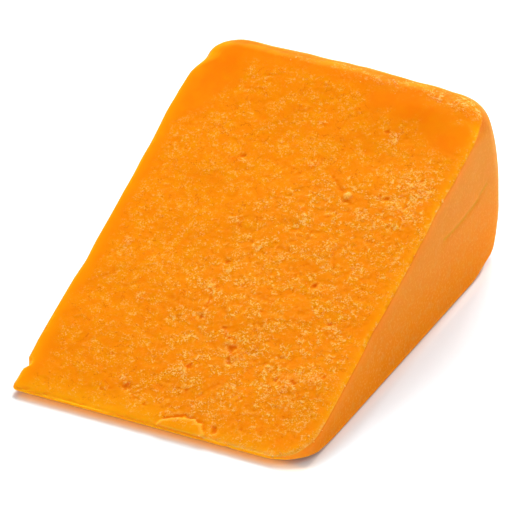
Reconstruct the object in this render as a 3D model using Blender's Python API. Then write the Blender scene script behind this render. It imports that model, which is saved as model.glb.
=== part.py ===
"""A wedge of Double Gloucester cheese, lying on one of its two cut faces.

Blender 4.5, in metres, +Z up. The thin edge is at -Y, the bulging rind end at +Y, and the
upper cut face slopes up between them. The origin is under the middle of the wedge, on the
surface that it lies on.
"""

import math

import bmesh
import bpy
import numpy as np
from mathutils import Vector, noise

MM = 0.001

# Overall size
WIDTH = 82.6 * MM
LENGTH = 125 * MM
LIP_HEIGHT = 2.1 * MM
CUT_ANGLE = math.radians(22)

# Rounding of the edges
RIM_RADIUS = 6.5 * MM
REAR_RIGHT_RADIUS = 12.5 * MM
REAR_LEFT_RADIUS = 9.5 * MM
FRONT_RIGHT_RADIUS = 10.5 * MM
FRONT_LEFT_RADIUS = 2 * MM
REAR_FOOT_RADIUS = 4 * MM
RIDGE_RADIUS = 0.8 * MM
LIP_RADIUS = 1.6 * MM
LIP_FOOT_RADIUS = 0.6 * MM

# Bulge of the rind
CROWN_HEIGHT = 15 * MM
RIM_HEIGHT = 44 * MM
FOOT_RECESS = 4.5 * MM
RIM_RECESS = 6.5 * MM
RECESS_REACH = 40 * MM

# Arch of the rim from side to side, and hollows along the left side: place, reach, depth
RIM_ARCH = 1.6 * MM
LEFT_HOLLOWS = [(-6 * MM, 44 * MM, 0.8 * MM), (43 * MM, 22 * MM, 1.0 * MM)]

# Gap under the thin edge, which has sprung up a little
LIFT = 1.5 * MM
LIFT_REACH = 20 * MM

# Where the cut face meets the rim, and the smooth border inside its other three edges
RIM_LINE = 46.5 * MM
SMOOTH_BORDER = 3 * MM
BORDER_FADE = 5 * MM
BORDER_WANDER = 1.5 * MM
WANDER_SIZE = 9 * MM

# Torn curd of the upper cut face: slow swells, raised flakes and grains
SWELL_SIZE = 16 * MM
SWELL_HEIGHT = 0.45 * MM
FLAKE_SIZE = 7 * MM
FLAKE_HEIGHT = 0.36 * MM
GRAIN_SIZE = 3.4 * MM
GRAIN_HEIGHT = 0.24 * MM

# Crumbled band along the rim line, which thins out towards the left
RIM_BAND = 2.4 * MM
RIM_WANDER = 2 * MM
RIM_CRUMB_SIZE = 2.6 * MM
RIM_CRUMB_HEIGHT = 0.8 * MM
RIM_BAND_START = -30 * MM
RIM_BAND_FADE = 40 * MM

# Shallow dents in the rind, which the foot is free of
DENT_SIZE = 13 * MM
DENT_DEPTH = 0.4 * MM
FOOT_FADE = 4 * MM

# Patches that came away smooth from the knife: place across and along, radius
SMOOTH_PATCHES = [(-35 * MM, 40 * MM, 10 * MM), (31 * MM, 38 * MM, 8 * MM), (-36 * MM, 28 * MM, 6 * MM)]

# Pits in the cut face: place across and along, radius, depth
PITS = [
    (-14.5 * MM, 17.0 * MM, 1.6 * MM, 1.2 * MM),
    (2.8 * MM, 20.9 * MM, 1.5 * MM, 1.0 * MM),
    (16.6 * MM, 13.7 * MM, 2.4 * MM, 1.3 * MM),
    (26.8 * MM, 15.3 * MM, 1.5 * MM, 1.1 * MM),
    (20.4 * MM, -13.8 * MM, 1.6 * MM, 1.2 * MM),
    (0.1 * MM, -44.1 * MM, 1.7 * MM, 1.2 * MM),
    (-20.5 * MM, -46.6 * MM, 1.5 * MM, 1.0 * MM),
    (-18.7 * MM, -56.0 * MM, 1.5 * MM, 1.1 * MM),
    (8.3 * MM, -36.2 * MM, 1.7 * MM, 1.1 * MM),
    (21.3 * MM, -56.8 * MM, 1.9 * MM, 1.2 * MM),
]
# The loose crumb that sits in the widest pit
CRUMB_PLACE = (16.6 * MM, 13.7 * MM)
CRUMB_RADIUS = 1.2 * MM
CRUMB_HEIGHT = 1.5 * MM

# Cracks between the curds, each a run of places on the cut face
CRACKS = [
    [(-3.8 * MM, -23.5 * MM), (-0.3 * MM, -28.7 * MM), (3.8 * MM, -31.3 * MM), (8.3 * MM, -36.2 * MM)],
    [(-18.7 * MM, -56.0 * MM), (-12.4 * MM, -54.2 * MM), (-6.9 * MM, -57.2 * MM)],
    [(13.4 * MM, 12.1 * MM), (19.7 * MM, 11.7 * MM)],
    [(3.0 * MM, -57.6 * MM), (9.3 * MM, -55.6 * MM), (16.0 * MM, -55.2 * MM), (21.3 * MM, -56.8 * MM)],
]
CRACK_WIDTH = 1.1 * MM
CRACK_DEPTH = 0.9 * MM

# The curd that has lifted at the thin edge
CHIP_PLACE = (10.5 * MM, -58.7 * MM)
CHIP_LENGTH = 21 * MM
CHIP_WIDTH = 5 * MM
CHIP_TURN = math.radians(12)
CHIP_HEIGHT = 0.8 * MM

# The nick in the left edge, and the fold that the cheesecloth pressed into the right rind
NICK_PLACE = -54.4 * MM
NICK_RADIUS = 1.9 * MM
FOLD = [(19.8 * MM, 22.9 * MM), (38.4 * MM, 23.6 * MM), (45.6 * MM, 26.3 * MM)]
FOLD_WIDTH = 1.1 * MM
FOLD_DEPTH = 0.6 * MM

# Cells of the fine grid that the relief is carved in, and the triangles that are kept of it
CELLS_ACROSS = 94
CELLS_ALONG = 144
CELLS_UP = 44
TRIANGLES = 10600

FRONT = -LENGTH / 2
REAR = LENGTH / 2
RIM_START = REAR - 24 * MM
RIM_FADE = 14 * MM
SLOPE = math.tan(CUT_ANGLE)


def cut_height(y):
    """Height of the upper cut face."""
    return LIP_HEIGHT + SLOPE * (y - FRONT)


def smooth_step(t):
    t = np.clip(t, 0, 1)
    return t * t * (3 - 2 * t)


def round_edge(first, second, radius):
    """Bends the square edge between two faces round, from each point's depth behind them."""
    u = np.clip(radius - first, 0, None)
    w = np.clip(radius - second, 0, None)
    pull = np.maximum(u, w) / np.maximum(np.hypot(u, w), 1e-9)
    return np.where(u > 0, radius - u * pull, first), np.where(w > 0, radius - w * pull, second)


def wedge_form(cube):
    """Moves the points of a unit cube to the wedge with its round edges and bulging rind."""
    x, y = cube[:, 0] * WIDTH, cube[:, 1] * LENGTH
    height = cut_height(y)
    z = (cube[:, 2] + 0.5) * height
    rear, right = y > 0, x > 0

    # Depth behind the outline seen from above, whose four corners are round
    rear_corner = np.where(right, REAR_RIGHT_RADIUS, REAR_LEFT_RADIUS)
    corner = np.where(rear, rear_corner, np.where(right, FRONT_RIGHT_RADIUS, FRONT_LEFT_RADIUS))
    u = np.clip(corner - (WIDTH / 2 - np.abs(x)), 0, None)
    w = np.clip(corner - np.where(rear, REAR - y, y - FRONT), 0, None)
    depth = corner - np.maximum(u, w)

    # Round edges: the rim behind the cut face, its sharper sides, and the foot
    to_rim = smooth_step((y - RIM_START) / RIM_FADE)
    to_lip = smooth_step((FRONT + RIM_FADE - y) / RIM_FADE)
    top_radius = RIDGE_RADIUS + (RIM_RADIUS - RIDGE_RADIUS) * to_rim + (LIP_RADIUS - RIDGE_RADIUS) * to_lip
    foot_radius = LIP_FOOT_RADIUS + (REAR_FOOT_RADIUS - LIP_FOOT_RADIUS) * to_rim
    new_depth, below = round_edge(depth, height - z, top_radius)
    new_depth, z = round_edge(new_depth, height - below, foot_radius)
    share = z / height

    ring = np.where(depth < corner, (corner - new_depth) / np.maximum(np.hypot(u, w), 1e-9), 1.0)
    x = np.where(right, 1, -1) * (WIDTH / 2 - np.where(u > 0, corner - u * ring, WIDTH / 2 - np.abs(x)))
    y = np.where(w > 0, np.where(rear, REAR - corner + w * ring, FRONT + corner - w * ring), y)

    # The rind falls back above and below its crown, and the cut face stays a plane
    z = share * cut_height(y)
    under = np.clip((CROWN_HEIGHT - z) / CROWN_HEIGHT, 0, None)
    over = np.clip((z - CROWN_HEIGHT) / (RIM_HEIGHT - CROWN_HEIGHT), 0, None)
    recess = FOOT_RECESS * under ** 2 + RIM_RECESS * over ** 2
    y = y - recess * smooth_step(1 - (REAR - y) / RECESS_REACH)

    near_rim = smooth_step(1 - (REAR - y) / RECESS_REACH)
    z = share * (cut_height(y) + RIM_ARCH * (1 - (2 * x / WIDTH) ** 2) * near_rim)
    on_left = np.clip(-2 * x / WIDTH, 0, 1)
    for place, reach, hollow in LEFT_HOLLOWS:
        x = x + on_left * hollow * smooth_step(1 - np.abs(y - place) / reach)
    z = z + LIFT * smooth_step(1 - (y - FRONT) / LIFT_REACH) * (1 - share)
    return np.stack([x, y, z], axis=1)


def gridded_cube():
    """A unit cube with its faces cut into cells."""
    bm = bmesh.new()
    bmesh.ops.create_cube(bm, size=1)
    for axis, cells in enumerate((CELLS_ACROSS, CELLS_ALONG, CELLS_UP)):
        along = [e for e in bm.edges if abs(e.verts[0].co[axis] - e.verts[1].co[axis]) > 0.5]
        bmesh.ops.subdivide_edges(bm, edges=along, cuts=cells - 1, use_grid_fill=True)
    mesh = bpy.data.meshes.new("cheese_wedge")
    bm.to_mesh(mesh)
    bm.free()
    return mesh


def line_distance(x, y, line):
    """Distance of a place from a run of straight stretches."""
    best = np.full(np.shape(x), np.inf)
    for (x0, y0), (x1, y1) in zip(line, line[1:]):
        along = ((x - x0) * (x1 - x0) + (y - y0) * (y1 - y0)) / ((x1 - x0) ** 2 + (y1 - y0) ** 2)
        along = np.clip(along, 0, 1)
        best = np.minimum(best, np.hypot(x - x0 - along * (x1 - x0), y - y0 - along * (y1 - y0)))
    return best


def noise_field(x, y, size, octaves=1, seed=0.0):
    """Smooth noise between about -1 and 1, with its features about size across."""
    places = np.stack([x / size, y / size, np.full(len(x), seed)], axis=1)
    return np.array([noise.fractal(Vector(p), 1.0, 2.0, octaves) for p in places])


def torn_part(x, y):
    """1 where the curd is torn, falling to 0 in the smooth border beside the rind and the lip."""
    wander = BORDER_WANDER * noise_field(x, y, WANDER_SIZE, 2, 4.0)
    depth = np.minimum(WIDTH / 2 - np.abs(x), y - FRONT)
    for px, py, radius in SMOOTH_PATCHES:
        depth = np.minimum(depth, np.hypot(x - px, y - py) - radius + SMOOTH_BORDER)
    return smooth_step((depth + wander - SMOOTH_BORDER) / BORDER_FADE)


def curd_relief(x, y):
    """Height of the cut face above its plane at each place: swells, flakes, grains and marks."""
    torn = torn_part(x, y)
    inside = smooth_step((RIM_LINE - y) / BORDER_FADE)
    flakes = smooth_step((noise_field(x, y, FLAKE_SIZE, 3, 1.0) + 0.05) / 0.25) - 0.5
    grains = noise_field(x, y, GRAIN_SIZE, 2, 2.0)
    height = SWELL_HEIGHT * noise_field(x, y, SWELL_SIZE, 1, 3.0) * inside
    height += torn * inside * (FLAKE_HEIGHT * flakes + GRAIN_HEIGHT * grains)

    rim_place = RIM_LINE + RIM_WANDER * noise_field(x, y, WANDER_SIZE, 1, 5.0)
    band = np.exp(-((y - rim_place) / RIM_BAND) ** 2) * smooth_step((x - RIM_BAND_START) / RIM_BAND_FADE)
    height += RIM_CRUMB_HEIGHT * band * noise_field(x, y, RIM_CRUMB_SIZE, 1, 6.0)

    for px, py, radius, depth in PITS:
        gone = np.hypot(x - px, y - py) / radius
        height -= depth * smooth_step(1.5 - gone)
    from_crumb = np.hypot(x - CRUMB_PLACE[0], y - CRUMB_PLACE[1]) / CRUMB_RADIUS
    height += CRUMB_HEIGHT * smooth_step(1.5 - from_crumb)
    for line in CRACKS:
        height -= CRACK_DEPTH * smooth_step(1 - line_distance(x, y, line) / CRACK_WIDTH)

    dx, dy = x - CHIP_PLACE[0], y - CHIP_PLACE[1]
    along = dx * math.cos(CHIP_TURN) + dy * math.sin(CHIP_TURN)
    aside = dy * math.cos(CHIP_TURN) - dx * math.sin(CHIP_TURN)
    lens = 1 - (2 * along / CHIP_LENGTH) ** 2 - (2 * aside / CHIP_WIDTH) ** 2
    height += CHIP_HEIGHT * smooth_step(2 * lens)
    return height


def carve(points, cube):
    """Carves the relief: the upper cut face along its normal, the rind faces inwards."""
    x, y, z = points.T.copy()
    top = cube[:, 2] > 0.499
    height = np.zeros(len(x))
    height[top] = curd_relief(x[top], y[top])
    points[:, 1] -= height * math.sin(CUT_ANGLE)
    points[:, 2] += height * math.cos(CUT_ANGLE)

    above_foot = smooth_step(z / FOOT_FADE)
    dents = np.clip(noise_field(y, z, DENT_SIZE, 2, 7.0), 0, None) * DENT_DEPTH
    fold = FOLD_DEPTH * smooth_step(1 - line_distance(y, z, FOLD) / FOLD_WIDTH) * (x > 0)
    on_side = smooth_step((np.abs(x) / WIDTH - 0.4) / 0.1)
    points[:, 0] -= np.sign(x) * on_side * above_foot * (dents + fold)

    dents = np.clip(noise_field(x, z, DENT_SIZE, 2, 8.0), 0, None) * DENT_DEPTH
    at_rear = smooth_step((y - RIM_LINE) / BORDER_FADE)
    points[:, 1] -= at_rear * above_foot * dents

    nick = NICK_RADIUS - np.hypot(x + WIDTH / 2, y - NICK_PLACE)
    points[:, 0] += np.where((nick > 0) & (x < 0), nick, 0)
    return points


def clear_scene():
    for obj in list(bpy.data.objects):
        bpy.data.objects.remove(obj)


def get_points(mesh):
    points = np.empty(len(mesh.vertices) * 3)
    mesh.vertices.foreach_get("co", points)
    return points.reshape(-1, 3)


def set_points(mesh, points):
    mesh.vertices.foreach_set("co", points.ravel())
    mesh.update()


def keep_triangles(obj, count):
    """Thins the fine grid to the given number of triangles, fewest where it is flat."""
    obj.data.calc_loop_triangles()
    thin = obj.modifiers.new("thin", "DECIMATE")
    thin.ratio = count / len(obj.data.loop_triangles)
    thin.use_collapse_triangulate = True
    graph = bpy.context.evaluated_depsgraph_get()
    made = bpy.data.meshes.new_from_object(obj.evaluated_get(graph))
    obj.modifiers.clear()
    obj.data = made


def centre_over_origin(mesh):
    """Puts the middle of the wedge's outline, seen from above, over the origin."""
    points = get_points(mesh)
    points[:, :2] -= (points[:, :2].min(axis=0) + points[:, :2].max(axis=0)) / 2
    set_points(mesh, points)


def cheese_material():
    material = bpy.data.materials.new("double_gloucester")
    material.use_nodes = True
    shader = material.node_tree.nodes["Principled BSDF"]
    shader.inputs["Base Color"].default_value = (0.93, 0.29, 0.02, 1)
    shader.inputs["Roughness"].default_value = 0.5
    shader.inputs["Metallic"].default_value = 0.0
    return material


def main():
    clear_scene()
    mesh = gridded_cube()
    cube = get_points(mesh)
    set_points(mesh, carve(wedge_form(cube), cube))
    wedge = bpy.data.objects.new("cheese_wedge", mesh)
    bpy.context.scene.collection.objects.link(wedge)
    keep_triangles(wedge, TRIANGLES)
    centre_over_origin(wedge.data)
    wedge.data.materials.append(cheese_material())
    wedge.data.shade_smooth()


if __name__ == "__main__":
    main()
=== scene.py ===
"""A wedge of Double Gloucester cheese on a white studio floor."""

import math

import bpy
import numpy as np
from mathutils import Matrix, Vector, noise


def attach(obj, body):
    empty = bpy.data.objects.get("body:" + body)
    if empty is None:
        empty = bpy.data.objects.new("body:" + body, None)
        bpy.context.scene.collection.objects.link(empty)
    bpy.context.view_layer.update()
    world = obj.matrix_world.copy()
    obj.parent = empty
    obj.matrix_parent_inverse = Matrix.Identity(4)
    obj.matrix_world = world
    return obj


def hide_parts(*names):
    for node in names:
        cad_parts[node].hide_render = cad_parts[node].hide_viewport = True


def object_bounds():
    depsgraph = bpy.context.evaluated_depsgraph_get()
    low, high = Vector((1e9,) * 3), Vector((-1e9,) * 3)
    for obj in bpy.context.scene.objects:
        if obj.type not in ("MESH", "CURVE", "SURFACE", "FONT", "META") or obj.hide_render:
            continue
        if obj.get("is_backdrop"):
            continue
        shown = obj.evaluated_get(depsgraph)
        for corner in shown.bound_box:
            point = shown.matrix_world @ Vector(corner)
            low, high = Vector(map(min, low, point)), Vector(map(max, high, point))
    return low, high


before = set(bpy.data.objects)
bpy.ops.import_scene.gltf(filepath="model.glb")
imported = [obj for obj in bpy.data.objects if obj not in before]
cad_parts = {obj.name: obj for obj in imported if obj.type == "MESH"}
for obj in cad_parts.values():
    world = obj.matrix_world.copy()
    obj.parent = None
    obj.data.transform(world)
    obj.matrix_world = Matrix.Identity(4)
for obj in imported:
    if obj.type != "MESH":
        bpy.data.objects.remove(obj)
cad_low, cad_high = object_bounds()

# The wedge
# A quarter-kilo wedge of pressed, annatto-dyed cheese, cut from a small wheel with a wire. Its two
# cut faces almost meet at a thin edge, and its sides and thick end are the pressed rind. The curd
# tears as the wire goes through, so the cut face is crumbly away from the denser rind.
MM = 0.001
WIDTH = 82.6 * MM
LENGTH = 125 * MM
LIP_HEIGHT = 2.1 * MM
CUT_ANGLE = math.radians(22)
FRONT = -LENGTH / 2
REAR = LENGTH / 2
SLOPE = math.tan(CUT_ANGLE)

RIM_RADIUS = 6.5 * MM
RIM_START = REAR - 24 * MM
RIM_FADE = 14 * MM
REAR_RIGHT_RADIUS = 12.5 * MM
REAR_LEFT_RADIUS = 9.5 * MM
FRONT_RIGHT_RADIUS = 10.5 * MM
FRONT_LEFT_RADIUS = 2 * MM
REAR_FOOT_RADIUS = 4 * MM
RIDGE_RADIUS = 0.8 * MM
LIP_RADIUS = 1.6 * MM
LIP_FOOT_RADIUS = 0.6 * MM
CROWN_HEIGHT = 15 * MM
RIM_HEIGHT = 44 * MM
FOOT_RECESS = 4.5 * MM
RIM_RECESS = 6.5 * MM
RECESS_REACH = 40 * MM
RIM_ARCH = 1.6 * MM
LEFT_HOLLOWS = [(-6 * MM, 44 * MM, 0.8 * MM), (43 * MM, 22 * MM, 1.0 * MM)]
LIFT = 1.5 * MM
LIFT_REACH = 20 * MM

# Cuts of the block, by direction. One operator makes 100 at the most, so the second is cut in two goes
CUTS = [(0, 99), (1, 74), (1, 1), (2, 59)]

bpy.ops.object.select_all(action="DESELECT")
bpy.ops.mesh.primitive_cube_add(size=1, location=(0, 0, RIM_HEIGHT / 2),
                                scale=(WIDTH, LENGTH, RIM_HEIGHT))
wedge = bpy.context.object
wedge.name = "cut_wedge"
wedge.data.name = "cut_wedge"
bpy.ops.object.transform_apply(location=True, rotation=True, scale=True)


def get_points(mesh):
    points = np.empty(len(mesh.vertices) * 3)
    mesh.vertices.foreach_get("co", points)
    return points.reshape(-1, 3)


def select_only(mesh, kind, wanted):
    """Selects the wanted edges or faces of the piece in edit mode, and nothing else."""
    bpy.ops.object.mode_set(mode="EDIT")
    bpy.ops.mesh.select_mode(type=kind)
    bpy.ops.mesh.select_all(action="DESELECT")
    bpy.ops.object.mode_set(mode="OBJECT")
    (mesh.edges if kind == "EDGE" else mesh.polygons).foreach_set("select", wanted)
    bpy.ops.object.mode_set(mode="EDIT")


# The block is cut into cells, one direction after another, and its upper face once more
for axis, cuts in CUTS:
    ends = np.empty(len(wedge.data.edges) * 2, dtype=np.int32)
    wedge.data.edges.foreach_get("vertices", ends)
    span = get_points(wedge.data)[ends.reshape(-1, 2)]
    select_only(wedge.data, "EDGE", np.abs(span[:, 0, axis] - span[:, 1, axis]) > 0.1 * MM)
    bpy.ops.mesh.subdivide(number_cuts=cuts)
    bpy.ops.object.mode_set(mode="OBJECT")
select_only(wedge.data, "FACE", [face.center.z > RIM_HEIGHT - 0.01 * MM for face in wedge.data.polygons])
bpy.ops.mesh.subdivide(number_cuts=1)
bpy.ops.object.mode_set(mode="OBJECT")


def cut_height(y):
    """Height of the upper cut face."""
    return LIP_HEIGHT + SLOPE * (y - FRONT)


def smooth_step(t):
    t = np.clip(t, 0, 1)
    return t * t * (3 - 2 * t)


def round_edge(first, second, radius):
    """Bends the square edge between two faces round, from each point's depth behind them."""
    u = np.clip(radius - first, 0, None)
    w = np.clip(radius - second, 0, None)
    pull = np.maximum(u, w) / np.maximum(np.hypot(u, w), 1e-9)
    return np.where(u > 0, radius - u * pull, first), np.where(w > 0, radius - w * pull, second)


def wedge_form(x, y, share):
    """Moves the points of the block to the wedge. share is each point's height in the block, 0 to 1."""
    height = cut_height(y)
    z = share * height
    rear, right = y > 0, x > 0
    rear_corner = np.where(right, REAR_RIGHT_RADIUS, REAR_LEFT_RADIUS)
    corner = np.where(rear, rear_corner, np.where(right, FRONT_RIGHT_RADIUS, FRONT_LEFT_RADIUS))
    u = np.clip(corner - (WIDTH / 2 - np.abs(x)), 0, None)
    w = np.clip(corner - np.where(rear, REAR - y, y - FRONT), 0, None)
    depth = corner - np.maximum(u, w)

    to_rim = smooth_step((y - RIM_START) / RIM_FADE)
    to_lip = smooth_step((FRONT + RIM_FADE - y) / RIM_FADE)
    top_radius = RIDGE_RADIUS + (RIM_RADIUS - RIDGE_RADIUS) * to_rim + (LIP_RADIUS - RIDGE_RADIUS) * to_lip
    foot_radius = LIP_FOOT_RADIUS + (REAR_FOOT_RADIUS - LIP_FOOT_RADIUS) * to_rim
    new_depth, below = round_edge(depth, height - z, top_radius)
    new_depth, z = round_edge(new_depth, height - below, foot_radius)
    share = z / height

    ring = np.where(depth < corner, (corner - new_depth) / np.maximum(np.hypot(u, w), 1e-9), 1.0)
    x = np.where(right, 1, -1) * (WIDTH / 2 - np.where(u > 0, corner - u * ring, WIDTH / 2 - np.abs(x)))
    y = np.where(w > 0, np.where(rear, REAR - corner + w * ring, FRONT + corner - w * ring), y)

    z = share * cut_height(y)
    under = np.clip((CROWN_HEIGHT - z) / CROWN_HEIGHT, 0, None)
    over = np.clip((z - CROWN_HEIGHT) / (RIM_HEIGHT - CROWN_HEIGHT), 0, None)
    recess = FOOT_RECESS * under ** 2 + RIM_RECESS * over ** 2
    y = y - recess * smooth_step(1 - (REAR - y) / RECESS_REACH)
    near_rim = smooth_step(1 - (REAR - y) / RECESS_REACH)
    z = share * (cut_height(y) + RIM_ARCH * (1 - (2 * x / WIDTH) ** 2) * near_rim)
    on_left = np.clip(-2 * x / WIDTH, 0, 1)
    for place, reach, hollow in LEFT_HOLLOWS:
        x = x + on_left * hollow * smooth_step(1 - np.abs(y - place) / reach)
    z = z + LIFT * smooth_step(1 - (y - FRONT) / LIFT_REACH) * (1 - share)
    return x, y, z


block = get_points(wedge.data)
x, y, z = wedge_form(block[:, 0], block[:, 1], block[:, 2] / RIM_HEIGHT)
on_cut = block[:, 2] > RIM_HEIGHT - 0.01 * MM
flat_x, flat_y, flat_z = x.copy(), y.copy(), z.copy()

# The torn curd of the cut face: where the rim begins, and where the curd stayed smooth, as place across
# and along and reach
RIM_LINE = 46.5 * MM
SMOOTH_BORDER = 2.5 * MM
BORDER_FADE = 4 * MM
SMOOTH_PATCHES = [(-36 * MM, 41 * MM, 8 * MM), (-37 * MM, 30 * MM, 4 * MM), (12 * MM, 43 * MM, 2 * MM),
                  (20 * MM, 42 * MM, 2 * MM), (28 * MM, 40 * MM, 2.5 * MM), (35 * MM, 37 * MM, 2.5 * MM)]


def noise_field(x, y, size, octaves=1, seed=0.0):
    """Smooth noise between about -1 and 1, with its features about size across."""
    places = np.stack([x / size, y / size, np.full(len(x), seed)], axis=1)
    return np.array([noise.fractal(Vector(p), 1.0, 2.0, octaves) for p in places])


def granules(x, y, size, seed):
    """Domes of pressed curd grains, 1 in their middles, and a random tone for each grain."""
    places = np.stack([x / size, y / size, np.full(len(x), seed)], axis=1)
    near = [noise.voronoi(Vector(p)) for p in places]
    first = np.array([n[0][0] for n in near])
    middle = np.array([n[1][0][:] for n in near])
    tone = np.abs(np.sin(middle @ np.array([127.1, 311.7, 74.7]))) * 43758.5453 % 1.0
    return np.clip(1 - (first / 0.75) ** 2, 0, 1), tone


def line_distance(x, y, line):
    """Distance of a place from a run of straight stretches."""
    best = np.full(np.shape(x), np.inf)
    for (x0, y0), (x1, y1) in zip(line, line[1:]):
        along = ((x - x0) * (x1 - x0) + (y - y0) * (y1 - y0)) / ((x1 - x0) ** 2 + (y1 - y0) ** 2)
        along = np.clip(along, 0, 1)
        best = np.minimum(best, np.hypot(x - x0 - along * (x1 - x0), y - y0 - along * (y1 - y0)))
    return best


# Pits in the cut face and raised lumps of pale curd: place across and along, radius, all in millimetres
PITS = [
    (8.4, -36.1, 1.3), (26.6, 15.5, 0.9), (24.8, 15.7, 0.6), (20.4, -13.2, 1.0), (0.3, -44.1, 1.0),
    (-15.1, 17.6, 1.0), (2.8, 20.9, 0.8), (-20.5, -46.6, 0.8), (-18.7, -56.0, 0.8), (14.6, -59.2, 1.2),
    (21.3, -56.8, 0.6), (32.7, 14.8, 0.8), (32.1, 20.0, 0.6), (28.0, -40.8, 0.9), (-3.4, -30.3, 0.8),
    (-12.7, -54.0, 1.0), (33.1, 22.9, 0.6), (9.1, -39.8, 0.8), (29.3, -22.6, 0.8), (-4.5, -12.7, 0.8),
    (18.3, 34.0, 0.8), (23.1, -41.5, 0.8), (27.4, -5.7, 0.8), (3.6, -30.9, 0.8), (8.1, -22.1, 0.7),
    (2.8, -50.9, 0.7), (34.9, -37.4, 0.7), (5.8, -33.5, 0.7), (10.4, -24.2, 0.6), (28.9, 19.8, 0.5),
    (-5.7, -57.2, 0.7),
]
LUMPS = [
    (30.9, 22.3, 2.3), (26.6, -42.4, 1.7), (33.6, 18.5, 1.9), (-5.4, -21.0, 1.3), (30.2, -24.1, 1.4),
    (32.8, -39.4, 1.2), (33.4, 12.2, 1.7), (29.5, 14.3, 1.6), (-0.7, -45.8, 1.2), (7.4, -34.7, 1.1),
    (29.5, -47.2, 1.1), (-14.4, -51.7, 1.0), (11.4, -38.1, 1.1), (0.7, 31.9, 0.7), (-14.0, 16.0, 0.9),
    (7.8, 4.6, 1.0), (22.2, 9.2, 1.1), (-8.1, -1.0, 1.0), (-21.4, -28.3, 0.9), (20.3, -37.5, 0.9),
    (2.3, -49.0, 0.9), (-3.8, -15.3, 0.9), (1.2, -6.7, 0.9), (20.5, 33.0, 1.0), (-31.8, -13.8, 0.8),
    (3.6, 20.4, 0.7),
]
CRACKS = [
    [(-4.8, -21.5), (-3.8, -24.5), (-3.4, -30.3)],
    [(3.6, -30.9), (5.8, -33.5), (8.4, -36.1), (9.1, -39.8)],
    [(-18.7, -56.0), (-15.6, -55.0)],
    [(-12.7, -53.0), (-10.4, -55.2), (-6.9, -57.2)],
    [(15.3, 12.9), (16.4, 12.0), (18.2, 12.1), (18.7, 13.4), (19.0, 15.3)],
    [(10.6, 17.7), (12.6, 16.0), (14.8, 14.4)],
]
SMALL_PITS = 170
LOOSE_CRUMB = (16.6 * MM, 13.7 * MM, 0.9 * MM)
# Where the curd tore most: place across and along, reach, in millimetres
CRUMBLY_PLACES = [(32.0, 15.0, 13.0), (29.0, -24.0, 9.0), (9.0, -36.0, 15.0), (29.0, -42.0, 13.0),
                  (-3.0, -20.0, 13.0), (4.0, -47.0, 13.0), (24.0, -5.0, 14.0), (8.0, 4.0, 12.0)]
# The back edge of the chip that lifted off the thin edge, in millimetres
CHIP_ACROSS = [-1, 0.3, 2.2, 4.4, 8.7, 11.6, 12.6, 13.5]
CHIP_ALONG = [-63, -60.4, -59.2, -57.9, -57.7, -59.0, -60.6, -63]
chance = np.random.default_rng(7)

cut_x, cut_y = x[on_cut], y[on_cut]
wander = noise_field(cut_x, cut_y, 9 * MM, 2, 4.0)
inset = np.minimum(np.minimum(WIDTH / 2 + cut_x, WIDTH / 2 - cut_x + 2.5 * MM), cut_y - FRONT + 2 * MM)
for px, py, radius in SMOOTH_PATCHES:
    inset = np.minimum(inset, np.hypot(cut_x - px, cut_y - py) - radius + SMOOTH_BORDER)
torn = smooth_step((inset + 2.5 * MM * wander - SMOOTH_BORDER) / BORDER_FADE)
below_rim = smooth_step((RIM_LINE - cut_y) / BORDER_FADE)
torn *= below_rim
crumbly = np.full(len(cut_x), 0.4)
for px, py, reach in CRUMBLY_PLACES:
    crumbly += 0.6 * np.exp(-(np.hypot(cut_x / MM - px, cut_y / MM - py) / reach) ** 2)
crumbly = np.clip(crumbly, 0, 1) * torn

# The face drops by fractions of a millimetre where the wire tore out curd, in plates, flakes and grains.
# Their edges are bent by finer noise, so that none is round.
bent_x = cut_x + 0.6 * MM * noise_field(cut_x, cut_y, 2.2 * MM, 3, 11.0)
bent_y = cut_y + 0.6 * MM * noise_field(cut_x, cut_y, 2.2 * MM, 3, 12.0)
plates = smooth_step((noise_field(bent_x, bent_y, 8 * MM, 4, 1.0) + 0.08) / 0.07)
flakes = smooth_step((noise_field(bent_x, bent_y, 2.2 * MM, 4, 2.0) + 0.02) / 0.15)
grain_dome, grain_tone = granules(bent_x, bent_y, 1.1 * MM, 3.0)
height = 0.35 * MM * noise_field(cut_x, cut_y, 16 * MM, 1, 3.0) * below_rim
height -= 0.09 * MM * torn * plates
height -= 0.1 * MM * (0.35 + 0.65 * plates) * crumbly * (flakes - 0.5)
height += 0.11 * MM * (0.25 + 0.75 * flakes) * crumbly * (grain_dome * (0.4 + grain_tone) - 0.5)

# The rim crumbles in a band, wider at the right
rim_place = RIM_LINE + 1.6 * MM + 2 * MM * noise_field(cut_x, cut_y, 9 * MM, 1, 5.0)
rim_width = (2.0 + 1.2 * smooth_step((cut_x - 20 * MM) / (12 * MM))) * MM
rim_band = np.exp(-((cut_y - rim_place) / rim_width) ** 2) * smooth_step((cut_x + 30 * MM) / (40 * MM))
rim_dome, rim_tone = granules(bent_x, bent_y, 1.3 * MM, 6.0)
at_right = smooth_step((cut_x - 18 * MM) / (10 * MM))
height += (0.1 + 0.08 * at_right) * MM * rim_band * (rim_dome * (0.3 + rim_tone) - 0.5)

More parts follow.
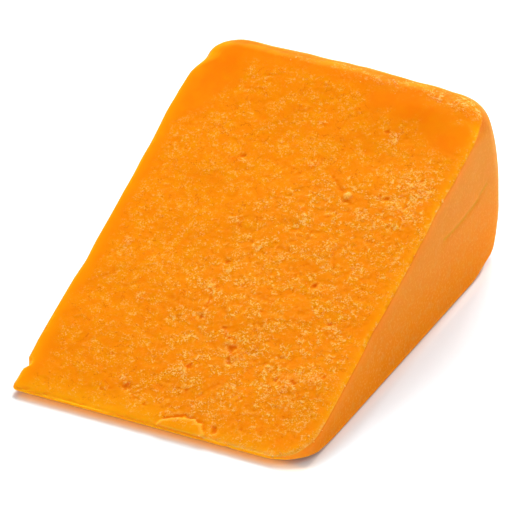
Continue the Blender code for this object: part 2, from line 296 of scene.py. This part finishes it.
# Lumps, pits, cracks, small pits and the crumb that still sits in its pit
ragged_x = bent_x + 0.45 * MM * noise_field(cut_x, cut_y, 1.0 * MM, 2, 17.0)
ragged_y = bent_y + 0.45 * MM * noise_field(cut_x, cut_y, 1.0 * MM, 2, 18.0)
# hollow marks where pits and cracks are painted darker, as painted shade
hollow, pale = np.zeros(len(cut_x)), np.zeros(len(cut_x))
for px, py, radius in LUMPS:
    near = np.exp(-((ragged_x / MM - px) ** 2 + (ragged_y / MM - py) ** 2) / (1.6 * radius) ** 2)
    height += 0.12 * MM * near * (0.4 + grain_dome)
    pale = np.maximum(pale, near)
for px, py, radius in PITS:
    near = smooth_step((0.95 - np.hypot(ragged_x / MM - px, ragged_y / MM - py) / radius) / 0.5)
    height -= 0.28 * radius * MM * near
    hollow = np.maximum(hollow, near)
for line in CRACKS:
    near = smooth_step((1.2 - line_distance(ragged_x / MM, ragged_y / MM, line) / 0.34) / 0.8)
    near *= smooth_step((noise_field(cut_x, cut_y, 2.5 * MM, 1, 13.0) + 0.3) / 0.3)
    height -= 0.2 * MM * near
    hollow = np.maximum(hollow, 0.8 * near)
for _ in range(SMALL_PITS):
    px, py = chance.uniform(-36, 36), chance.uniform(-58, 42)
    radius, depth, stretch = chance.uniform(0.3, 0.6), chance.uniform(0.08, 0.2), chance.uniform(0.5, 1.6)
    near = np.hypot((ragged_x / MM - px) * stretch, ragged_y / MM - py) / radius
    near = smooth_step((1.3 - near) / 0.7) * crumbly
    height -= depth * MM * near
    hollow = np.maximum(hollow, near * 0.4)
loose = np.hypot(cut_x - LOOSE_CRUMB[0], cut_y - LOOSE_CRUMB[1]) / LOOSE_CRUMB[2]
loose = smooth_step(1.5 - loose)
height += 0.6 * MM * loose
hollow *= 1 - loose
pale = np.maximum(pale, loose)
pale *= 1 - hollow

chip_line = np.interp(cut_x / MM, CHIP_ACROSS, CHIP_ALONG) * MM
chip_line += 0.6 * MM * noise_field(cut_x, cut_y, 1.6 * MM, 3, 19.0)
chip = smooth_step((chip_line - cut_y) / (0.5 * MM))
crack = np.exp(-((cut_y - chip_line - 0.25 * MM) / (0.3 * MM)) ** 2)
crack *= np.abs(cut_x - 6.5 * MM) < 6 * MM
height += 0.5 * MM * chip - 0.3 * MM * crack
hollow = np.maximum(hollow, 0.8 * crack)

# The ridges crumble a little
ridge_depth = np.minimum(WIDTH / 2 - np.abs(cut_x), cut_y - FRONT)
nibbled = np.exp(-(ridge_depth / (0.9 * MM)) ** 2)
nibbled *= np.clip(noise_field(cut_x, cut_y, 1.6 * MM, 2, 14.0), 0, 1)
height -= 0.5 * MM * nibbled * below_rim

# How far each place stands above or below its surroundings
block_cut = block[on_cut]
order = np.lexsort((block_cut[:, 0].round(6), block_cut[:, 1].round(6)))
rows = len(np.unique(block_cut[:, 1].round(6)))


def smoothed(values, cells):
    """Averages values over the cells around each place of the cut face."""
    grid = values[order].reshape(rows, -1)
    for axis in (0, 1):
        grid = np.mean([np.roll(grid, step, axis) for step in range(-cells, cells + 1)], axis=0)
    result = np.empty(len(values))
    result[order] = grid.ravel()
    return result


# crest also sets where raised grains are painted paler and sunk ones deeper orange, partly the drier curd and
# partly painted highlight and shade
crest = np.clip((height - smoothed(height, 2)) / (0.06 * MM), -2, 2)

y[on_cut] -= height * math.sin(CUT_ANGLE)
z[on_cut] += height * math.cos(CUT_ANGLE)

# The lip and the rim aren't quite straight
near_lip = np.clip(1 - (flat_y - FRONT) / (1.8 * MM), 0, 1)
lip_bites = np.clip(noise_field(flat_x, flat_z, 2.4 * MM, 3, 15.0), 0, 1)
y += 0.6 * MM * near_lip * lip_bites * (0.3 + 0.7 * (flat_x > 6 * MM))
on_rim = smooth_step((flat_y - 40 * MM) / (10 * MM)) * smooth_step(flat_z / (20 * MM) - 0.8)
sag = np.clip(noise_field(flat_x, np.zeros(len(x)), 13 * MM, 2, 16.0) + 0.3, 0, 1)
z -= 0.5 * MM * on_rim * sag

# Shallow dents in the rind, the fold that the cheesecloth pressed into its right side, and the nick
above_foot = smooth_step(flat_z / (4 * MM))
dents = np.clip(noise_field(flat_y, flat_z, 13 * MM, 2, 7.0), 0, None) * 0.4 * MM
fold_line = [(19.8, 22.9), (29.0, 22.7), (38.4, 23.6), (45.6, 26.3)]
fold_gap = line_distance(flat_y / MM, flat_z / MM, fold_line)
# The fold is also painted darker, a painted shade in its crease
fold = smooth_step(1.5 - fold_gap / 0.34) * (flat_x > 0)
on_side = smooth_step((np.abs(flat_x) / WIDTH - 0.4) / 0.1)
groove = 0.25 * MM * smooth_step(1 - fold_gap / 1.3) * (flat_x > 0)
x -= np.sign(flat_x) * on_side * above_foot * (dents + groove)
dents = np.clip(noise_field(flat_x, flat_z, 13 * MM, 2, 8.0), 0, None) * 0.4 * MM
y -= smooth_step((flat_y - RIM_LINE) / BORDER_FADE) * above_foot * dents
nick = 1.9 * MM - np.hypot(flat_x + WIDTH / 2, flat_y + 54.4 * MM)
x += np.where((nick > 0) & (flat_x < 0), nick, 0)

# The middle of its outline is the origin, and all of it stays inside the solid's box
x -= (x.min() + x.max()) / 2
y -= (y.min() + y.max()) / 2
points = np.stack([x, y, z], axis=1)
points = np.clip(points, np.array(cad_low) + 1e-6 * np.array([1, 1, 0]), np.array(cad_high) - 1e-6)
wedge.data.vertices.foreach_set("co", points.ravel())
wedge.data.update()


def give(mesh, name, values):
    """Writes one value for each point of the mesh, which its material reads by name."""
    mesh.attributes.new(name, "FLOAT", "POINT").data.foreach_set("value", values.astype(np.float32))


def whole(values):
    """Spreads the values of the cut face's points over all points."""
    spread = np.zeros(len(x))
    spread[on_cut] = values
    return spread


def edge_gap(x, y, stretch=1.0):
    """Distance of a place from the side and front edges, following the round corner at the right."""
    gap = np.minimum(WIDTH / 2 - np.abs(x), (y - FRONT) / stretch)
    dx, dy = x - WIDTH / 2 + FRONT_RIGHT_RADIUS, FRONT + FRONT_RIGHT_RADIUS - y
    gap = np.where((dx > 0) & (dy > 0), FRONT_RIGHT_RADIUS - np.hypot(dx, dy), gap)
    return np.clip(gap, 0, None)


# How much each place shows of each finish, and where light and shade are painted into the colour
ridge_gap = edge_gap(flat_x, flat_y)
border_gap = edge_gap(flat_x, flat_y, 1.7)
lip = smooth_step(1 - (flat_y - FRONT) / (2.2 * MM))
lip = np.maximum(lip, smooth_step(nick / (0.5 * MM) + 1.2) * (flat_x < 0))
# A painted highlight along the ridges, and the painted glow of the thin edge
painted_ridge_light = np.maximum(np.exp(-(ridge_gap / (0.8 * MM)) ** 2) * on_cut, lip)
# The edges, the thin edge and the chip on it are painted paler yellow-orange: a painted glow of the light
# that the paste lets through near its edges
border_width = np.where(flat_x > 0, 2.2, 3.2) * MM
painted_edge_glow = np.maximum(np.exp(-(border_gap / border_width) ** 2) * on_cut, lip)
painted_edge_glow = np.maximum(painted_edge_glow, whole(0.9 * chip * (1 - hollow)))
rim_start = RIM_LINE + 1.6 * MM + 2 * MM * noise_field(flat_x, flat_y, 9 * MM, 1, 5.0)
rim = smooth_step((flat_y - rim_start) / (1.5 * MM)) * on_cut
right_ridge = np.exp(-((WIDTH / 2 - cut_x) / (1.2 * MM)) ** 2)
right_lip = np.exp(-(edge_gap(cut_x, cut_y) / (1.8 * MM)) ** 2)
right_lip *= smooth_step((cut_x - 9 * MM) / (5 * MM))
right_lip *= smooth_step((FRONT + 16 * MM - cut_y) / (6 * MM))
clots = smooth_step((noise_field(cut_x, cut_y, 2.5 * MM, 2, 20.0) + 0.1) / 0.3)
pale = np.maximum(pale, clots * np.maximum((0.45 + 0.55 * at_right) * rim_band, right_lip))
crumbly_all = np.maximum.reduce([crumbly, (0.5 + 0.5 * at_right) * rim_band, 0.8 * right_ridge, right_lip])
# A painted highlight along the edge of the front right corner
painted_corner_highlight = right_lip * np.exp(-(edge_gap(cut_x, cut_y) / (0.9 * MM)) ** 2)
# The rind just under the ridge is painted brighter orange, painted light along the ridge
brow = np.exp(-((cut_height(flat_y) - flat_z) / (3.5 * MM)) ** 2) * on_side * (1 - on_cut)
# Near the thin edge the rind is painted yellower, a painted glow of the light that comes through the thin
# paste
thin = smooth_step(1 - (flat_y - FRONT) / (11 * MM))
at_corner = smooth_step((flat_x - 28 * MM) / (8 * MM))
finishes_and_painted_light = {
    "torn": whole(torn), "crumbly": whole(crumbly_all), "crest": whole(crest), "hollow": whole(hollow),
    "pale": whole(pale), "painted_edge_glow": painted_edge_glow, "painted_ridge_light": painted_ridge_light, "rim": rim,
    "rind": np.where(on_cut, rim, 1.0) * (1 - lip), "fold": fold, "brow": brow,
    "crumbly_rim": whole(rim_band), "pale_crumb_and_corner_highlight": whole(np.maximum(painted_corner_highlight, loose)), "thin": thin,
    # Where the painted glow of the thin edge and its corner goes
    "shine_through": np.maximum(0.6 * lip, thin * (1 - on_cut) * (1 + 0.7 * at_corner)),
}
for name, values in finishes_and_painted_light.items():
    give(wedge.data, name, values)

# The face that it lies on is flat, so its cells are merged to one face
select_only(wedge.data, "FACE", [face.center.z < 1e-7 for face in wedge.data.polygons])
bpy.ops.mesh.dissolve_faces()
bpy.ops.object.mode_set(mode="OBJECT")
wedge.data.shade_smooth()


def colour(code):
    """A colour written as a hex code in sRGB, as linear red, green, blue and 1."""
    parts = [int(code[i:i + 2], 16) / 255 for i in (1, 3, 5)]
    return [c / 12.92 if c <= 0.04045 else ((c + 0.055) / 1.055) ** 2.4 for c in parts] + [1.0]


def add_node(tree, kind, settings=None, **links):
    """Adds a node, sets its properties, and sets or links its inputs, which are named with _ for a
    space, or numbered as i0, i1 and so on."""
    node = tree.nodes.new(kind)
    for name, value in (settings or {}).items():
        setattr(node, name, value)
    for name, value in links.items():
        numbered = name[0] == "i" and name[1:].isdigit()
        socket = node.inputs[int(name[1:]) if numbered else name.replace("_", " ")]
        if isinstance(value, bpy.types.NodeSocket):
            tree.links.new(value, socket)
        else:
            socket.default_value = value
    return node


def new_material(name):
    material = bpy.data.materials.new(name)
    material.use_nodes = True
    material.node_tree.nodes.clear()
    return material, material.node_tree


MIX = ("ShaderNodeMix", {"data_type": "RGBA"})
RANGE = ("ShaderNodeMapRange", {"interpolation_type": "SMOOTHSTEP"})
TIMES = ("ShaderNodeMath", {"operation": "MULTIPLY"})
PLUS = ("ShaderNodeMath", {"operation": "ADD"})

# Pressed cheese dyed with annatto: a matt, slightly waxy and translucent paste, orange all through and
# paler wherever it is torn, so light spreads in it and nothing on it glints
paste, tree = new_material("annatto_cheese_paste")
place = add_node(tree, "ShaderNodeTexCoord").outputs["Object"]
height_here = add_node(tree, "ShaderNodeSeparateXYZ", Vector=place).outputs["Z"]
given = {name: add_node(tree, "ShaderNodeAttribute", {"attribute_name": name}).outputs["Fac"]
         for name in finishes_and_painted_light}

# The patterns in the paste: size of their features, detail, roughness. The curd's real grain is finer
# than 0.45 mm and wouldn't show.
noises = {}
for name, size, detail, roughness in (
        ("band", 6 * MM, 3.0, 0.5), ("curd", 3.5 * MM, 4.0, 0.6), ("rind_mottle", 2.2 * MM, 3.0, 0.5),
        ("rind_speck", 0.7 * MM, 2.0, 0.5), ("plate", 3.5 * MM, 5.0, 0.6), ("gap", 1.3 * MM, 2.0, 0.5),
        ("grain", 0.5 * MM, 2.0, 0.7), ("flake", 0.75 * MM, 3.0, 0.65), ("small_flake", 0.45 * MM, 2.0, 0.65),
        ("crack", 2.6 * MM, 4.0, 0.6), ("crack_place", 2.1 * MM, 1.0, 0.5)):
    noises[name] = add_node(tree, "ShaderNodeTexNoise", Vector=place, Scale=1 / size, Detail=detail,
                            Roughness=roughness).outputs["Fac"]
crack_gap = add_node(tree, "ShaderNodeMath", {"operation": "SUBTRACT"}, i0=noises["crack"], i1=0.5).outputs[0]
crack_gap = add_node(tree, "ShaderNodeMath", {"operation": "ABSOLUTE"}, i0=crack_gap).outputs[0]

# How much of a colour shows, as its pattern goes from the first value to the second
shares = {}
for name, value, first, second, low, high in (
        ("band", noises["band"], 0.35, 0.65, 0.0, 1.0),
        ("curd", noises["curd"], 0.38, 0.62, 0.0, 1.0),
        ("upper_rind", height_here, 3 * MM, 34 * MM, 0.0, 1.0),
        ("rind_mottle", noises["rind_mottle"], 0.5, 0.7, 0.0, 0.3),
        ("rind_speck", noises["rind_speck"], 0.5, 0.68, 0.0, 0.4),
        ("plate", noises["plate"], 0.44, 0.56, 0.1, 1.0),
        ("broken", noises["gap"], 0.40, 0.52, 0.0, 1.0),
        ("crack", crack_gap, 0.004, 0.014, 1.0, 0.0),
        ("crack_place", noises["crack_place"], 0.55, 0.6, 0.0, 1.0),
        ("raised", given["crest"], 0.2, 1.6, 0.0, 0.35),
        ("sunk", given["crest"], -0.4, -2.0, 0.0, 0.2)):
    shares[name] = add_node(tree, *RANGE, Value=value, From_Min=first, From_Max=second, To_Min=low,
                            To_Max=high).outputs[0]

# Deep orange along the rind, and a little paler where it is torn. Near the edges and ridges the colour is
# painted paler: a painted glow of the light that the paste lets through near its edges, and a painted
# highlight along the ridges
deep_band = add_node(tree, *MIX, i0=shares["band"], i6=colour("#F57E00"), i7=colour("#F58600")).outputs[2]
curd = add_node(tree, *MIX, i0=shares["curd"], i6=colour("#F68700"), i7=colour("#F69100")).outputs[2]
surface = add_node(tree, *MIX, i0=given["torn"], i6=deep_band, i7=curd).outputs[2]
for name, strength, code in (("painted_edge_glow", 1.0, "#FC9A00"), ("painted_ridge_light", 0.8, "#FF9E0C")):
    share = add_node(tree, *TIMES, i0=given[name], i1=strength).outputs[0]
    surface = add_node(tree, *MIX, i0=share, i6=surface, i7=colour(code)).outputs[2]

# The rind is browner, paler towards its top, and mottled
rind = add_node(tree, *MIX, i0=shares["upper_rind"], i6=colour("#E67400"), i7=colour("#DE7D27")).outputs[2]
for name, code in (("rind_mottle", "#E08C3C"), ("rind_speck", "#EE9440")):
    rind = add_node(tree, *MIX, i0=shares[name], i6=rind, i7=colour(code)).outputs[2]
# The rim keeps the rind's own colour. Near the thin edge, under the ridge and in the fold the rind is
# painted: a painted glow, painted light and a painted shade
for name, strength, code in (("rim", 1.0, "#D66C04"), ("thin", 1.0, "#FF9E20"), ("brow", 0.7, "#EC7A1C"),
                             ("fold", 0.6, "#C8860C")):
    share = add_node(tree, *TIMES, i0=given[name], i1=strength).outputs[0]
    rind = add_node(tree, *MIX, i0=share, i6=rind, i7=colour(code)).outputs[2]
surface = add_node(tree, *MIX, i0=given["rind"], i6=surface, i7=rind).outputs[2]
# The loose crumb is paler curd, and the edge of the front right corner gets a painted highlight
for name, strength, code in (("pale_crumb_and_corner_highlight", 0.7, "#FFBC58"), ("crumbly_rim", 0.5, "#EE8C16")):
    share = add_node(tree, *TIMES, i0=given[name], i1=strength).outputs[0]
    surface = add_node(tree, *MIX, i0=share, i6=surface, i7=colour(code)).outputs[2]

# Flakes of torn curd: small steps, 0.75 and 0.45 mm across, pale on top and deep orange below; the deep
# orange below each step is painted shade. They are drawn about twice as coarse as the real ones, which
# wouldn't show.
grainy = add_node(tree, *TIMES, i0=given["crumbly"], i1=shares["plate"]).outputs[0]
grainy = add_node(tree, "ShaderNodeMath", {"operation": "MAXIMUM"}, i0=grainy, i1=given["pale"]).outputs[0]
deep = add_node(tree, *TIMES, i0=grainy, i1=given["torn"]).outputs[0]
pale_here = add_node(tree, *TIMES, i0=given["pale"], i1=0.04).outputs[0]
step_height = add_node(tree, *TIMES, i0=noises["grain"], i1=0.3).outputs[0]
for flake in (noises["flake"], noises["small_flake"]):
    step = add_node(tree, *RANGE, Value=flake, From_Min=0.45, From_Max=0.52).outputs[0]
    step_height = add_node(tree, *PLUS, i0=step_height, i1=step).outputs[0]
    # Painted shade at the foot of each step
    below = add_node(tree, *RANGE, Value=flake, From_Min=0.42, From_Max=0.36, To_Max=0.75).outputs[0]
    below = add_node(tree, *TIMES, i0=below, i1=deep).outputs[0]
    surface = add_node(tree, *MIX, i0=below, i6=surface, i7=colour("#E87400")).outputs[2]
    above = add_node(tree, *PLUS, i0=flake, i1=pale_here).outputs[0]
    above = add_node(tree, *RANGE, Value=above, From_Min=0.54, From_Max=0.61).outputs[0]
    above = add_node(tree, *TIMES, i0=above, i1=shares["broken"]).outputs[0]
    above = add_node(tree, *TIMES, i0=above, i1=grainy).outputs[0]
    surface = add_node(tree, *MIX, i0=above, i6=surface, i7=colour("#FFBC62")).outputs[2]

# Hair cracks between the grains, raised and sunk grains, and pits. The cracks and pits are painted darker, a
# painted shade in them; raised grains are painted paler and sunk ones deeper orange, partly the drier curd on
# the tops and partly painted highlight and shade
crack_here = add_node(tree, *TIMES, i0=shares["crack"], i1=shares["crack_place"]).outputs[0]
crack_here = add_node(tree, *TIMES, i0=crack_here, i1=given["torn"]).outputs[0]
crack_here = add_node(tree, *TIMES, i0=crack_here, i1=0.75).outputs[0]
pit_here = add_node(tree, *TIMES, i0=given["hollow"], i1=0.65).outputs[0]
for share, code in ((crack_here, "#DC6400"), (shares["raised"], "#FFB850"), (shares["sunk"], "#EC7400"),
                    (pit_here, "#EE6A00")):
    surface = add_node(tree, *MIX, i0=share, i6=surface, i7=colour(code)).outputs[2]

# The steps of the flakes, and the grain of the paste everywhere
step_height = add_node(tree, *TIMES, i0=step_height, i1=grainy).outputs[0]
grain_height = add_node(tree, *TIMES, i0=noises["grain"], i1=0.5).outputs[0]
bump_height = add_node(tree, *PLUS, i0=step_height, i1=grain_height).outputs[0]
bump = add_node(tree, "ShaderNodeBump", Strength=1.0, Distance=0.035 * MM, Height=bump_height)

# A faint painted glow: an emission on the thin edge and its round corner stands in for the light that comes
# through them
shine = add_node(tree, *TIMES, i0=given["shine_through"], i1=0.12).outputs[0]
shader = add_node(tree, "ShaderNodeBsdfPrincipled", Base_Color=surface, Normal=bump.outputs[0], Roughness=0.5,
                  IOR=1.45, Specular_IOR_Level=0.012, Subsurface_Weight=1.0,
                  Subsurface_Radius=(1.0, 0.4, 0.08), Subsurface_Scale=2.5 * MM,
                  Emission_Color=colour("#FFAA38"), Emission_Strength=shine)
add_node(tree, "ShaderNodeOutputMaterial", Surface=shader.outputs[0])
# It is too faint to be sampled as a lamp
paste.cycles.emission_sampling = "NONE"
wedge.data.materials.append(paste)
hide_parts("cheese_wedge")
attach(wedge, "root")

# Crumbs
# Dry crumbs of curd that the wire tore loose. They lie along the rim, the right ridge and the thin edge,
# and stick to the face by their own grease.
bpy.ops.object.select_all(action="DESELECT")
bpy.ops.mesh.primitive_ico_sphere_add(subdivisions=1, radius=1)
crumb = bpy.context.object
bpy.ops.object.mode_set(mode="EDIT")
bpy.ops.transform.vertex_random(offset=0.25, seed=3)
bpy.ops.object.mode_set(mode="OBJECT")
crumb_points = get_points(crumb.data)
crumb_faces = np.array([face.vertices[:] for face in crumb.data.polygons])
bpy.data.objects.remove(crumb)

CRUMBS = 120
cut_points = points[on_cut]
clumped = smooth_step((noise_field(cut_x, cut_y, 6 * MM, 3, 21.0) + 0.05) / 0.3)
weight = 0.3 * rim_band * (0.3 + clumped) + right_lip + 0.3 * right_ridge
places = chance.choice(len(cut_x), CRUMBS, p=weight / weight.sum())
sizes = np.clip(chance.lognormal(math.log(0.15), 0.40, CRUMBS), 0.08, 0.45) * MM
shapes = crumb_points[None] * (1 + chance.uniform(-0.3, 0.3, (CRUMBS, len(crumb_points), 1)))
shapes *= chance.uniform(0.5, 1.4, (CRUMBS, 1, 3)) * np.array([1.0, 1.0, 0.45])
spin = chance.uniform(0, 2 * math.pi, CRUMBS)
turned = np.stack([shapes[..., 0] * np.cos(spin)[:, None] - shapes[..., 1] * np.sin(spin)[:, None],
                   shapes[..., 0] * np.sin(spin)[:, None] + shapes[..., 1] * np.cos(spin)[:, None],
                   shapes[..., 2]], axis=2) * sizes[:, None, None]
turned += chance.uniform(-0.25, 0.25, (CRUMBS, 1, 3)) * np.array([1, 1, 0]) * MM
tilted_y = turned[..., 1] * math.cos(CUT_ANGLE) - turned[..., 2] * math.sin(CUT_ANGLE)
tilted_z = turned[..., 1] * math.sin(CUT_ANGLE) + turned[..., 2] * math.cos(CUT_ANGLE)
spots = np.stack([turned[..., 0], tilted_y, tilted_z], axis=2) + cut_points[places][:, None]
spots = np.clip(spots, np.array(cad_low) + 1e-6, np.array(cad_high) - 1e-6)
crumb_mesh = bpy.data.meshes.new("loose_crumbs")
number = np.arange(CRUMBS)[:, None, None] * len(crumb_points)
all_faces = (crumb_faces[None] + number).reshape(-1, 3)
crumb_mesh.from_pydata(spots.reshape(-1, 3).tolist(), [], all_faces.tolist())
give(crumb_mesh, "tone", np.repeat(chance.uniform(0, 1, CRUMBS), len(crumb_points)))
crumbs = bpy.data.objects.new("loose_crumbs", crumb_mesh)
bpy.context.scene.collection.objects.link(crumbs)
crumb_mesh.shade_smooth()

# Crumbs of the same cheese, dried at their surface, so paler and quite matt
dry, tree = new_material("dry_cheese_crumb")
tone = add_node(tree, "ShaderNodeAttribute", {"attribute_name": "tone"}).outputs["Fac"]
crumb_colour = add_node(tree, *MIX, i0=tone, i6=colour("#FFA62C"), i7=colour("#FFC070")).outputs[2]
shader = add_node(tree, "ShaderNodeBsdfPrincipled", Base_Color=crumb_colour, Roughness=0.7, IOR=1.45,
                  Specular_IOR_Level=0.02)
add_node(tree, "ShaderNodeOutputMaterial", Surface=shader.outputs[0])
crumb_mesh.materials.append(dry)
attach(crumbs, "root")

# The floor
# A white studio floor of matt board, wide enough to fill every view.
bpy.ops.object.select_all(action="DESELECT")
bpy.ops.mesh.primitive_plane_add(size=12)
floor = bpy.context.object
floor.name = "studio_floor"
board, tree = new_material("matt_white_board")
shader = add_node(tree, "ShaderNodeBsdfPrincipled", Base_Color=colour("#C8C8C8"), Roughness=0.9,
                  Emission_Color=(1, 1, 1, 1), Emission_Strength=0.02)
add_node(tree, "ShaderNodeOutputMaterial", Surface=shader.outputs[0])
floor.data.materials.append(board)
floor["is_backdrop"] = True

# Light
# A white tent all round, and a large soft lamp above the left of the rind end. Small lamps light the
# floor by the wedge.
world = bpy.data.worlds.new("white_tent")
bpy.context.scene.world = world
world.use_nodes = True
tree = world.node_tree
ray = add_node(tree, "ShaderNodeTexCoord").outputs["Generated"]
facing = add_node(tree, "ShaderNodeSeparateXYZ", Vector=ray)
across = add_node(tree, *RANGE, Value=facing.outputs["X"], From_Min=-0.2, From_Max=0.5).outputs[0]
tent = add_node(tree, *MIX, i0=across, i6=(1.0, 1.0, 1.0, 1.0), i7=(0.80, 1.0, 1.12, 1.0)).outputs[2]
strength = add_node(tree, *RANGE, Value=facing.outputs["Y"], From_Min=-0.7, From_Max=0.3, To_Min=0.49,
                    To_Max=1.2).outputs[0]
tree.links.new(tent, tree.nodes["Background"].inputs["Color"])
tree.links.new(strength, tree.nodes["Background"].inputs["Strength"])
direction = Vector((-0.28, 0.66, 0.68)).normalized()
bpy.ops.object.light_add(type="AREA", location=direction * 1.2)
lamp = bpy.context.object
lamp.name = "soft_lamp"
lamp.data.shape = "SQUARE"
lamp.data.size = 0.6
lamp.data.energy = 13.0
lamp.rotation_mode = "QUATERNION"
lamp.rotation_quaternion = direction.to_track_quat("Z", "Y")

# A small low lamp behind the wedge that lights only the floor, so that the wedge shades a band of
# it along the thin edge
bpy.ops.object.light_add(type="AREA", location=(0.03, 1.12, 0.453))
low = bpy.context.object
low.name = "low_lamp"
low.data.shape = "RECTANGLE"
low.data.size = 0.1
low.data.size_y = 0.044
low.data.energy = 22.5
low.rotation_mode = "QUATERNION"
low.rotation_quaternion = Vector(low.location).to_track_quat("Z", "Y")
floor_only = bpy.data.collections.new("floor_only")
floor_only.objects.link(floor)
low.light_linking.receiver_collection = floor_only

# Strips over the floor along the thin edge and the right foot, for the light that comes through the
# cheese there: place, width, depth, colour, watts
for name, spot, size_x, size_y, shade, watts in (
        ("edge_glow", (1.5 * MM, FRONT + 0.4 * MM, 1.35 * MM), 81 * MM, 3.6 * MM, (0.84, 0.33, 0.0), 0.001),
        ("side_glow", (WIDTH / 2 + 0.7 * MM, -8 * MM, 1.3 * MM), 2 * MM, 112 * MM, (1.0, 0.5, 0.2), 0.0004)):
    bpy.ops.object.light_add(type="AREA", location=spot)
    glow = bpy.context.object
    glow.name = name
    glow.data.shape = "RECTANGLE"
    glow.data.size = size_x
    glow.data.size_y = size_y
    glow.data.color = shade
    glow.data.energy = watts
    glow.visible_camera = False

# The camera
# A long lens from 2.4 m away, so the wedge's lines hardly run together, as in the photo. Its place was
# fitted to the outline.
turn, rise = math.radians(26.33), math.radians(31.82)
back = Vector((math.sin(turn) * math.cos(rise), -math.cos(turn) * math.cos(rise), math.sin(rise)))
right = Vector((math.cos(turn), math.sin(turn), 0))
up = back.cross(right)
target = right * -2.47 * MM + up * 15.16 * MM
bpy.ops.object.camera_add(location=target + back * 2.4)
camera = bpy.context.object
camera.rotation_mode = "QUATERNION"
camera.rotation_quaternion = back.to_track_quat("Z", "Y")
camera.data.lens = 656.6
camera.data.clip_end = 20
bpy.context.scene.camera = camera
bpy.context.scene.view_settings.view_transform = "Standard"

made_low, made_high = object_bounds()
sizes = {"cad": [list(cad_low), list(cad_high)], "visual": [list(made_low), list(made_high)]}
